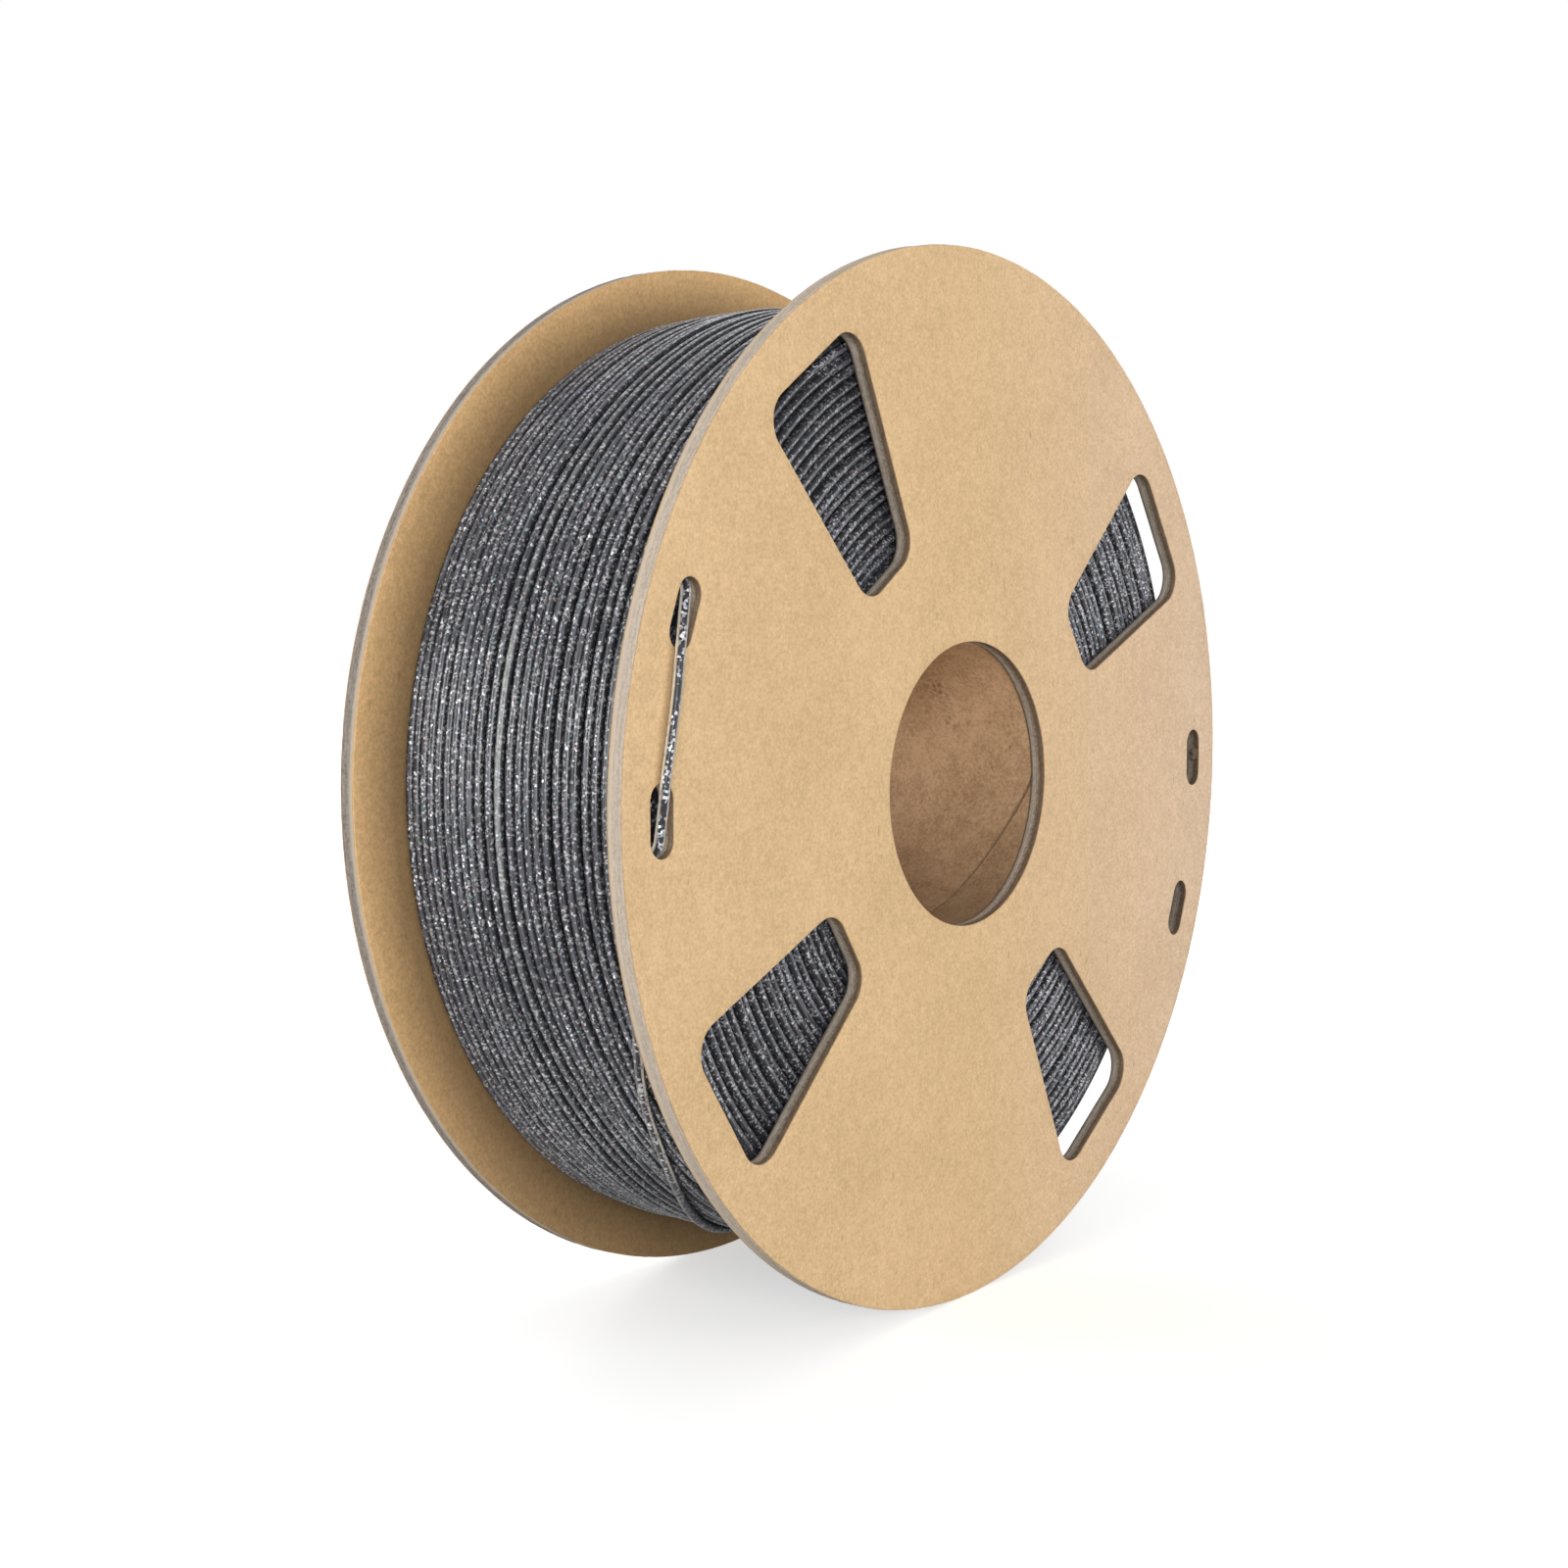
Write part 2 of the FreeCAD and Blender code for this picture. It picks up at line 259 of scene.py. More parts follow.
def slot_outline(angle):
    """Returns the outline of a slot, round at both ends."""
    turn = math.radians(angle)
    outward = np.array([math.cos(turn), math.sin(turn)])
    along = np.array([-math.sin(turn), math.cos(turn)])
    points = []
    for sign in (1, -1):
        for index in range(ARC_PARTS + 1):
            bend = math.radians(-90 + 180 * index / ARC_PARTS)
            points.append(outward * SLOT_RADIUS + sign * along * SLOT_STRAIGHT / 2
                          + SLOT_WIDTH / 2 * sign * (along * math.cos(bend) - outward * math.sin(bend)))
    return resample(np.array(points), SLOT_OUTLINE_STEP)


def flange_outlines(outer_radius, with_openings):
    """Returns the outer edge first and then each hole."""
    outlines = [circle_outline(outer_radius), circle_outline(BORE_RADIUS)]
    if with_openings:
        outlines += [window_outline(angle) for angle in WINDOW_ANGLES]
        outlines += [slot_outline(angle) for angle in SLOT_ANGLES]
    return outlines


def outline_normals(points):
    """Returns the unit normals of a closed outline, to the right of its course."""
    course = unit(np.roll(points, -1, 0) - np.roll(points, 1, 0))
    return np.stack([course[:, 1], -course[:, 0]], 1)


def signed_area(points):
    """Returns a closed outline's area, above zero when it runs anticlockwise."""
    after = np.roll(points, -1, 0)
    return 0.5 * np.sum(points[:, 0] * after[:, 1] - after[:, 0] * points[:, 1])


def inside(points, outline):
    """Says for each point whether it lies in a closed outline."""
    result = np.zeros(len(points), bool)
    for start, end in zip(outline, np.roll(outline, -1, 0)):
        crosses = (start[1] > points[:, 1]) != (end[1] > points[:, 1])
        if start[1] != end[1]:
            reach = (end[0] - start[0]) * (points[:, 1] - start[1]) / (end[1] - start[1]) + start[0]
            result ^= crosses & (points[:, 0] < reach)
    return result


def cap_faces(outlines, extra):
    """Returns triangles that fill the space between outlines, through the extra points."""
    points = np.concatenate(outlines + [extra])
    edges = []
    first = 0
    for outline in outlines:
        count = len(outline)
        edges += [(first + index, first + (index + 1) % count) for index in range(count)]
        first += count
    result = delaunay_2d_cdt([Vector(point) for point in points.tolist()], edges, [], 0, 1e-7)
    if len(result[0]) != len(points):
        raise ValueError("a cap's points have merged")
    triangles = np.array([list(face) for face in result[2]])
    centres = np.array([list(point) for point in result[0]])[triangles].mean(1)
    keep = inside(centres, outlines[0])
    for hole in outlines[1:]:
        keep &= ~inside(centres, hole)
    return triangles[keep]


def make_layer(name, outlines, low, high, bevel, rough, grid_step=0.0, warp=None, warp_low=True):
    """Makes one die-cut layer with softened, slightly ragged edges. low and high are the depths of its faces.

    A face with a grid is made uneven by warp: the one in front if warp_low, or else the one behind.
    """
    shaped = []
    normals = []
    for index, outline in enumerate(outlines):
        solid_left = index == 0
        if (signed_area(outline) > 0) != solid_left:
            outline = outline[::-1]
        away = outline_normals(outline)
        ragged = rough * (0.6 * smooth_noise(len(outline), 3) + 0.5 * smooth_noise(len(outline), 14))
        ragged = np.clip(ragged, -2 * rough, 0.6 * rough)
        shaped.append(outline + away * ragged[:, None])
        normals.append(away)
    profile = [(-bevel, low), (-0.3 * bevel, low + 0.3 * bevel), (0.0, low + bevel),
               (0.0, high - bevel), (-0.3 * bevel, high - 0.3 * bevel), (-bevel, high)]
    vertices = []
    faces = []
    starts = [0]
    for outline in shaped:
        starts.append(starts[-1] + len(outline))
    per_ring = starts[-1]
    for offset, y in profile:
        for outline, away in zip(shaped, normals):
            ring = outline + away * offset
            vertices.append(np.stack([ring[:, 0], np.full(len(ring), y), ring[:, 1]], 1))
    for level in range(len(profile) - 1):
        for start, end in zip(starts, starts[1:]):
            count = end - start
            here = np.arange(count)
            there = (here + 1) % count
            base = level * per_ring + start
            quads = np.stack([base + here, base + there, base + per_ring + there, base + per_ring + here], 1)
            faces += quads.tolist()
    inset = [outline - away * bevel for outline, away in zip(shaped, normals)]
    total = per_ring * len(profile)
    for is_low, y, first in ((True, low, 0), (False, high, per_ring * (len(profile) - 1))):
        extra = np.zeros((0, 2))
        if grid_step and is_low == warp_low:
            extra = grid_points(inset, grid_step)
        triangles = cap_faces(inset, extra)
        index_map = np.concatenate([np.arange(per_ring) + first, np.arange(len(extra)) + total])
        faces += index_map[triangles].tolist()
        if len(extra):
            height = warp(extra, inset)
            height = y + height if is_low else y - height
            vertices.append(np.stack([extra[:, 0], height, extra[:, 1]], 1))
            total += len(extra)
    piece = make_piece(name, np.concatenate(vertices) + [0, FRONT, 0], faces)
    smooth_by_angle(piece, 50)
    return piece


def grid_points(outlines, step):
    """Returns a jittered grid of points inside a layer, clear of its edges."""
    reach = np.arange(-FLANGE_RADIUS, FLANGE_RADIUS, step)
    grid = np.stack(np.meshgrid(reach, reach), -1).reshape(-1, 2)
    grid = grid + RNG.uniform(-0.25, 0.25, grid.shape) * step
    keep = inside(grid, outlines[0])
    for hole in outlines[1:]:
        keep &= ~inside(grid, hole)
    grid = grid[keep]
    edge = np.concatenate(outlines)
    gap = edge_distance(grid, edge)
    return grid[gap > step * 0.45]


def edge_distance(points, edge):
    """Returns each point's distance to the nearest point of the edges."""
    result = np.empty(len(points))
    for start in range(0, len(points), 500):
        part = points[start:start + 500]
        result[start:start + 500] = np.sqrt(((part[:, None] - edge[None]) ** 2).sum(-1)).min(1)
    return result


SKIN_UNEVENNESS = 0.06
CREASE_X = 39.3
CREASE_WIDTH = 0.8
CREASE_HEIGHT = 0.045
CREASE_FOOT = 42
CREASE_TOP = 82


def face_warp(points, outlines):
    """Returns the slight unevenness of a glued paper skin, nothing at its edges."""
    fade = ease(edge_distance(points, np.concatenate(outlines)) / 5)
    height = np.zeros(len(points))
    for wave in range(9):
        turn = RNG.uniform(0, 2 * math.pi)
        length = RNG.uniform(16, 60)
        course = np.array([math.cos(turn), math.sin(turn)])
        height += np.cos(points @ course * 2 * math.pi / length + RNG.uniform(0, 6.28)) * length / 60
    height = (height / 5 + 1) / 2
    return np.clip(height, 0, 1) * SKIN_UNEVENNESS * fade


def front_warp(points, outlines):
    """Adds a faint upright crease to the front skin."""
    height = face_warp(points, outlines)
    crease = np.exp(-((points[:, 0] - CREASE_X) / CREASE_WIDTH) ** 2)
    below_top = np.clip((CREASE_TOP - points[:, 1]) / 8, 0, 1)
    span = np.clip((points[:, 1] - CREASE_FOOT) / 6, 0, 1) * below_top
    return height + CREASE_HEIGHT * crease * span


# Materials

class Tree:
    """Builds a tree's nodes with short calls."""

    def __init__(self, tree):
        self.tree = tree

    def add(self, kind, **settings):
        node = self.tree.nodes.new(kind)
        for key, value in settings.items():
            setattr(node, key, value)
        return node

    def feed(self, socket, value):
        if isinstance(value, bpy.types.NodeSocket):
            self.tree.links.new(value, socket)
        else:
            socket.default_value = value

    def math(self, operation, first, second=0.0):
        node = self.add("ShaderNodeMath", operation=operation)
        self.feed(node.inputs[0], first)
        self.feed(node.inputs[1], second)
        return node.outputs[0]

    def times(self, first, *others):
        """Returns the product of the values."""
        for value in others:
            first = self.math("MULTIPLY", first, value)
        return first


class Nodes(Tree):
    """Builds one material's nodes."""

    def __init__(self, name):
        self.material = bpy.data.materials.new(name)
        self.material.use_nodes = True
        super().__init__(self.material.node_tree)
        self.shader = self.tree.nodes["Principled BSDF"]
        self.place = self.add("ShaderNodeTexCoord").outputs["Object"]

    def weighted(self, *pairs):
        """Returns the sum of the values, each times its weight."""
        total = None
        for value, weight in pairs:
            part = self.times(value, weight)
            total = part if total is None else self.math("ADD", total, part)
        return total

    def vector_math(self, operation, first, second=(0, 0, 0), scale=1.0):
        node = self.add("ShaderNodeVectorMath", operation=operation)
        self.feed(node.inputs[0], first)
        if operation == "SCALE":
            self.feed(node.inputs[3], scale)
        else:
            self.feed(node.inputs[1], second)
        return node.outputs[0]

    def scaled_place(self, x, y, z):
        return self.vector_math("MULTIPLY", self.place, (x, y, z))

    def noise(self, scale, detail=3.0, roughness=0.55, place=None):
        node = self.add("ShaderNodeTexNoise")
        self.feed(node.inputs["Vector"], place or self.place)
        node.inputs["Scale"].default_value = scale
        node.inputs["Detail"].default_value = detail
        node.inputs["Roughness"].default_value = roughness
        return node.outputs["Fac"]

    def cells(self, scale, place=None):
        node = self.add("ShaderNodeTexVoronoi", feature="F1")
        self.feed(node.inputs["Vector"], place or self.place)
        node.inputs["Scale"].default_value = scale
        return node

    def ramp(self, value, stops):
        node = self.add("ShaderNodeValToRGB")
        elements = node.color_ramp.elements
        while len(elements) < len(stops):
            elements.new(0.5)
        for element, (position, colour) in zip(elements, stops):
            element.position = position
            element.color = (*colour, 1)
        self.feed(node.inputs[0], value)
        return node.outputs[0]

    def channel(self, colour, index):
        node = self.add("ShaderNodeSeparateColor")
        self.feed(node.inputs[0], colour)
        return node.outputs[index]

    def parts(self, vector):
        node = self.add("ShaderNodeSeparateXYZ")
        self.feed(node.inputs[0], vector)
        return node.outputs

    def joined(self, x, y, z):
        node = self.add("ShaderNodeCombineXYZ")
        for socket, value in zip(node.inputs, (x, y, z)):
            self.feed(socket, value)
        return node.outputs[0]

    def from_axis(self):
        """Returns the distance from the spool's axis, in millimetres."""
        x, _, z = self.parts(self.place)
        square = self.math("ADD", self.times(x, x), self.times(z, z))
        return self.times(self.math("SQRT", square), 1 / MM)

    def level(self, value, low, high, to_low=0.0, to_high=1.0):
        """Returns to_low where the value is low, to_high where it is high, and a straight run between."""
        node = self.add("ShaderNodeMapRange", clamp=True)
        for index, item in enumerate((value, low, high, to_low, to_high)):
            self.feed(node.inputs[index], item)
        return node.outputs[0]

    def mix(self, factor, first, second, blend="MIX"):
        node = self.add("ShaderNodeMix", data_type="RGBA", blend_type=blend)
        self.feed(node.inputs[0], factor)
        for socket, value in ((node.inputs[6], first), (node.inputs[7], second)):
            self.feed(socket, (*value, 1) if isinstance(value, tuple) and len(value) == 3 else value)
        return node.outputs[2]

    def shaded(self, colour, brightness):
        return self.mix(1.0, colour, self.joined(brightness, brightness, brightness), "MULTIPLY")

    def bump(self, height, strength, distance):
        node = self.add("ShaderNodeBump")
        node.inputs["Strength"].default_value = strength
        node.inputs["Distance"].default_value = distance
        self.feed(node.inputs["Height"], height)
        return node.outputs[0]

    def finish(self, colour, roughness, normal, specular, **sockets):
        self.feed(self.shader.inputs["Base Color"], colour)
        self.feed(self.shader.inputs["Roughness"], roughness)
        self.shader.inputs["Specular IOR Level"].default_value = specular
        self.feed(self.shader.inputs["Normal"], normal)
        for name, value in sockets.items():
            self.feed(self.shader.inputs[name.replace("_", " ")], value)
        return self.material


def kraft_material(name, light, dark, painted_winding_shade=False, painted_cool_light=False, painted_shade=False):
    """Kraft paper: sandy fibre mottle, slow cloudiness and a few dark fibres.

    painted_winding_shade paints shade on it, darker under the winding, and painted_cool_light paints cool
    light on it, paler and bluer to the right. painted_shade paints shade on it, darker near the winding, low
    down and to the right.
    """
    n = Nodes(name)
    fine = n.noise(1500, 3, 0.7)
    middle = n.noise(520, 3, 0.6)
    slow = n.noise(55, 2, 0.5)
    mottle = n.weighted((fine, 0.58), (middle, 0.28), (slow, 0.14))
    colour = n.ramp(mottle, [(0.385, dark), (0.615, light)])
    fibre_place = n.vector_math("ADD", n.scaled_place(1, 1, 0.3), (0.3, 0.1, 0.7))
    fibres = n.cells(430, fibre_place)
    near = n.level(fibres.outputs["Distance"], 0.05, 0.15, 1.0, 0.0)
    chosen = n.math("GREATER_THAN", n.channel(fibres.outputs["Color"], 0), 0.85)
    mark = n.times(near, chosen)
    colour = n.mix(n.times(mark, 0.5), colour, tuple(channel * 0.55 for channel in dark))
    # Painted cool light: paler and bluer towards the right
    if painted_cool_light:
        across = n.level(n.parts(n.place)[0], 0.0, 0.1)
        colour = n.mix(across, colour, (1.01, 1.07, 1.36), "MULTIPLY")
    # Painted shade: darker near the winding, low down and to the right
    if painted_shade:
        x, _, z = n.parts(n.place)
        near_winding = n.level(n.from_axis(), 90.5, 98.5, 0.5, 1.05)
        low_down = n.level(z, -0.1, -0.03, 0.5, 1.0)
        to_right = n.level(x, -0.085, 0.0, 1.0, 0.8)
        colour = n.shaded(colour, n.times(near_winding, low_down, to_right))
    # Painted shade: dark under the winding, fading out above it
    if painted_winding_shade:
        edge = n.level(n.from_axis(), 93.3, 97.0, 1.0, 0.0)
        colour = n.mix(edge, colour, (0.15, 0.115, 0.085))
    height = n.weighted((fine, 0.6), (middle, 0.6))
    return n.finish(colour, n.level(middle, 0.3, 0.7, 0.74, 0.88), n.bump(height, 0.35, 0.00007), 0.2)


def board_material(name, light, dark, rim=None, outer=None):
    """Board seen on its cut edge: fine layers and loose fibres. rim and outer are pairs of light and dark.

    rim is its paler edge at the flange's outside, and outer its browner half under the front skin.
    """
    n = Nodes(name)
    layers = n.noise(1.0, 3, 0.6, n.scaled_place(160, 4200, 160))
    fibres = n.noise(1.0, 3, 0.65, n.scaled_place(900, 1900, 900))
    dust = n.noise(2000, 2, 0.6)
    grain = n.weighted((layers, 0.36), (fibres, 0.34), (dust, 0.3))
    colour = n.ramp(grain, [(0.40, dark), (0.60, light)])
    if outer:
        deep = n.math("ADD", n.parts(n.place)[1], n.times(dust, 0.0006))
        brown = n.level(deep, (FRONT + 1.65) * MM, (FRONT + 2.15) * MM, 1.0, 0.0)
        colour = n.mix(brown, colour, n.ramp(grain, [(0.40, outer[1]), (0.60, outer[0])]))
    # Painted shade: darker at the far right of the flange, in the walls of the slots there
    painted_slot_shade = n.level(n.parts(n.place)[0], 0.083, 0.086, 1.0, 0.62)
    colour = n.shaded(colour, painted_slot_shade)
    if rim:
        at_rim = n.level(n.from_axis(), 98.0, 98.4)
        colour = n.mix(at_rim, colour, n.ramp(grain, [(0.41, rim[1]), (0.59, rim[0])]))
        depth = n.math("ABSOLUTE", n.parts(n.place)[1])
        inner_face = INNER_WIDTH / 2
        inmost = n.level(depth, (inner_face + 0.7) * MM, (inner_face + 1.5) * MM, 0.7, 0.0)
        colour = n.mix(n.times(at_rim, inmost), colour, (0.72, 0.60, 0.46))
    return n.finish(colour, 0.9, n.bump(grain, 0.7, 0.00016), 0.15)


def tube_material(name, light, dark):
    """Brown tube paper: cloudy, a little polished, with specks, scuffs and two dark smudges."""
    n = Nodes(name)
    fine = n.noise(1500, 3, 0.7)
    cloud = n.noise(300, 4, 0.65)
    slow = n.noise(60, 2, 0.5)
    mottle = n.weighted((fine, 0.5), (cloud, 0.3), (slow, 0.2))
    colour = n.ramp(mottle, [(0.41, dark), (0.59, light)])
    # Painted light and shade: darker towards the bottom of the tube, lighter towards its top
    colour = n.shaded(colour, n.level(n.parts(n.place)[2], -0.027, 0.024, 0.6, 1.35))
    stain = (dark[0] * 0.5, dark[1] * 0.36, dark[2] * 0.33)
    for scale, share, strength in ((420, 0.8, 0.6), (150, 0.88, 0.5)):
        specks = n.cells(scale, n.vector_math("ADD", n.place, (0.1, 0.3, scale * 0.01)))
        near = n.level(specks.outputs["Distance"], 0.08, 0.24, 1.0, 0.0)
        chosen = n.math("GREATER_THAN", n.channel(specks.outputs["Color"], 1), share)
        mark = n.times(near, chosen, n.level(fine, 0.38, 0.55))
        colour = n.mix(n.times(mark, strength), colour, stain)
    for angle, depth, size in ((37.7, 22.5, 0.0042), (20.8, 21.5, 0.0024)):
        turn = math.radians(angle)
        radius = TUBE_INNER_RADIUS * MM
        spot = (radius * math.cos(turn), (depth + FRONT) * MM, radius * math.sin(turn))
        away = n.add("ShaderNodeVectorMath", operation="DISTANCE")
        n.feed(away.inputs[0], n.place)
        away.inputs[1].default_value = spot
        close = n.level(away.outputs["Value"], size * 0.2, size, 1.0, 0.0)
        mark = n.times(close, n.level(n.noise(900, 3, 0.7), 0.47, 0.6))
        colour = n.mix(n.times(mark, 0.8), colour, stain)
    return n.finish(colour, n.level(cloud, 0.3, 0.7, 0.6, 0.8), n.bump(fine, 0.3, 0.00006), 0.25)


def filament_material(name, ridge=(14, 0.5, 0.97), share=0.28, bright=0.68, sheen=0.8,
                      pale=(0.42, 0.43, 0.42), coat=0.5, grain=2500, haze=0.3, faintest_highlight=0.45):
    """Clear black plastic full of silver glitter, under a smooth surface.

    The ridge along each strand is a painted highlight: its place round the strand in degrees, and the cosines
    between which it rises. The rest of the strand, towards the grooves, is painted dark as shade. sheen is
    how light the painted highlight along each crest is. share is how many of the flakes shine, bright how
    light they are, and grain how fine. haze is how grey the duller ones make the ridge. pale is the colour of
    painted highlights, and faintest_highlight how much of it their thinnest patches have.
    """
    n = Nodes(name)
    wound = n.add("ShaderNodeAttribute", attribute_name="wound")
    along, around, number = n.parts(wound.outputs["Vector"])
    painted_light = n.add("ShaderNodeAttribute", attribute_name="painted_light").outputs["Fac"]
    # Painted shade where the strand's attribute read above is below zero, and painted highlights where it is
    # above
    lit = n.level(painted_light, -1.0, 0.0, 0.3, 1.0)
    cosine = n.math("COSINE", n.math("SUBTRACT", around, math.radians(ridge[0])))
    height = n.parts(n.place)[2]
    # At the top of the spool the painted highlight is narrower and the grooves are painted darker
    at_top = n.level(height, 0.045, 0.085)
    foot = n.level(at_top, 0.0, 1.0, ridge[1], ridge[1] + 0.42)
    lit = n.times(lit, n.level(n.noise(24, 2, 0.5), 0.36, 0.64, 0.68, 1.2))
    # Painted shade: darker towards the bottom of the winding
    lit = n.times(lit, n.level(height, -0.088, -0.05, 0.4, 1.0))
    # Painted highlight along each strand's ridge and crest; towards the grooves the strand is painted as
    # shade
    raised = n.times(n.level(cosine, foot, ridge[2]), lit)
    crest = n.times(n.level(cosine, 0.78, 0.985), lit)
    streak_place = n.joined(n.times(along, 0.08), n.times(around, 2.4), n.times(number, 3.7))
    streaks = n.level(n.noise(1.0, 3, 0.6, streak_place), 0.42, 0.64)
    flakes = n.cells(grain)
    shade = n.channel(flakes.outputs["Color"], 0)
    tint = n.channel(flakes.outputs["Color"], 1)
    in_groove = n.level(at_top, 0.0, 1.0, 0.35, 0.08)
    seen = n.times(n.level(raised, 0.0, 1.0, in_groove), lit)
    chosen = n.times(n.level(shade, 1 - share, 1 - share * 0.5), seen)
    darkest, lightest = (0.009, 0.0095, 0.0135), (0.026, 0.027, 0.037)
    body = n.ramp(n.noise(900, 2, 0.5), [(0.35, darkest), (0.65, lightest)])
    # A painted sheen along the crests, steady at the top, over a body painted dark as shade towards the
    # grooves
    streaks = n.math("MAXIMUM", streaks, n.times(at_top, 0.75))
    glow = n.times(streaks, crest, sheen)
    body = n.mix(glow, body, (0.24, 0.245, 0.28))
    body = n.mix(n.level(raised, 0.0, 0.6, 1.0, 0.0), body, (0.014, 0.0145, 0.018))
    dim = n.times(n.level(shade, 0.4, 1 - share), raised, haze)
    body = n.mix(dim, body, (0.165, 0.17, 0.20))
    # Painted highlights where the attribute is above zero, broken into patches
    patches = n.level(n.noise(1100, 2, 0.6), 0.38, 0.56, faintest_highlight, 0.95)
    body = n.mix(n.times(n.level(painted_light, 0.0, 1.0), patches), body, pale)
    silver = (bright, bright, bright * 1.05)
    copper = (bright, bright * 0.7, bright * 0.6)
    blue = (bright * 0.5, bright * 0.7, bright)
    green = (bright * 0.65, bright, bright * 0.7)
    flake_colour = n.ramp(tint, [(0.0, silver), (0.84, silver), (0.89, copper), (0.94, blue), (1.0, green)])
    colour = n.mix(chosen, body, flake_colour)
    tilt = n.vector_math("SUBTRACT", flakes.outputs["Color"], (0.5, 0.5, 0.5))
    tilt = n.vector_math("SCALE", tilt, scale=n.times(chosen, 1.1))
    normal = n.add("ShaderNodeNewGeometry").outputs["Normal"]
    normal = n.vector_math("NORMALIZE", n.vector_math("ADD", normal, tilt))
    return n.finish(colour, n.level(raised, 0.0, 1.0, 0.7, 0.33), normal, 0.3,
                    Metallic=n.times(chosen, 0.5), Coat_Roughness=0.12,
                    Coat_Weight=n.level(raised, 0.0, 1.0, 0.02, coat))


def plain_material(name, light, dark, roughness):
    """A plain, slightly cloudy material."""
    n = Nodes(name)
    cloud = n.noise(900, 3, 0.6)
    colour = n.ramp(cloud, [(0.3, dark), (0.7, light)])
    return n.finish(colour, roughness, n.bump(cloud, 0.3, 0.00008), 0.4)


kraft_light, kraft_dark = (0.785, 0.553, 0.310), (0.585, 0.395, 0.206)
kraft = kraft_material("kraft", kraft_light, kraft_dark)
kraft_front = kraft_material("kraft_front", kraft_light, kraft_dark, painted_cool_light=True)
kraft_inner = kraft_material("kraft_inner", (0.93, 0.59, 0.285), (0.66, 0.42, 0.195), painted_shade=True)
kraft_winding_shaded = kraft_material("kraft_winding_shaded", (0.66, 0.45, 0.25), (0.50, 0.33, 0.17), painted_winding_shade=True)
# The cut walls are darker than the front rim, partly the board's own tone and partly painted shade in the
# openings; the rear rim's darker pair is painted shade
board_wall = (0.53, 0.455, 0.375), (0.30, 0.255, 0.205)
board_front = board_material("board_front", *board_wall, ((0.71, 0.60, 0.49), (0.50, 0.42, 0.34)),
                             ((0.27, 0.195, 0.13), (0.145, 0.10, 0.065)))
board_rear = board_material("board_rear", *board_wall, ((0.42, 0.365, 0.32), (0.22, 0.19, 0.165)))
tube_paper = tube_material("tube_paper", (0.62, 0.415, 0.245), (0.39, 0.24, 0.13))
tube_board = board_material("tube_board", (0.32, 0.23, 0.15), (0.18, 0.125, 0.08))
adhesive = plain_material("adhesive", (0.62, 0.55, 0.42), (0.5, 0.43, 0.32), 0.45)
filament = filament_material("glitter")
filament_side = filament_material("glitter_side", (10, 0.68, 0.985), share=0.26, bright=0.75, sheen=0.75)
# The free end, whose pale colour is that of its painted edge highlights
filament_edge = filament_material("glitter_edge", (35, 0.3, 0.98), share=0.3, bright=0.85, sheen=0.05,
                                 pale=(0.92, 0.84, 0.71), coat=0.1, grain=2100, haze=0.1, faintest_highlight=0.9)
filament_dark = plain_material("glitter_core", (0.014, 0.014, 0.017), (0.006, 0.006, 0.008), 0.5)


def dress(piece, material):
    """Gives a piece its material and body."""
    piece.data.materials.clear()
    piece.data.materials.append(material)
    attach(piece, "root")


# The visible winding

def rows(start, end, spacing, least, most):
    """Returns uneven row positions from start to end, about one spacing apart."""
    count = int(round((end - start) / spacing))
    steps = RNG.uniform(least, most, count)
    steps *= (end - start) / steps.sum()
    return start + np.concatenate([[0], np.cumsum(steps)])


# The winding's outside: how far from the axis the strands' middles lie at each depth

PROFILE_Y = (4.2, 5.4, 6.5, 9.0, 14.0, 30.0, 38.0, 41.0, 44.5, 50.0, 56.0, 58.5, 59.5, 60.1)
PROFILE_R = (87.9, 88.5, 89.0, 89.35, 89.55, 89.7, 89.75, 90.0, 90.2, 90.0, 89.6, 89.2, 88.6, 88.0)


def crowding(degrees):
    """Says how far the turns lean towards the front flange at an angle: below, and at the top."""
    below = ease((degrees - 188) / 40) * (1 - ease((degrees - 245) / 50))
    above = ease((152 - degrees) / 34) * ease((degrees - 50) / 40)
    return below, above


def below_free_end(degrees, y):
    """Says where the turns lie in the hollow between the free end and the front flange."""
    line = 13.1 + (degrees - 205) * 0.44
    within = ease((degrees - 196) / 12) * (1 - ease((degrees - 262) / 25))
    return within * (1 - ease((y - line + 2.5) / 2.5))


STEPS_PER_TURN = 160
ROW_SWAY = 0.07
SHORT_SWELL = 0.06
LONG_SWELL = 0.15
LEAN_BELOW = 3.2
LEAN_ABOVE = 2.2


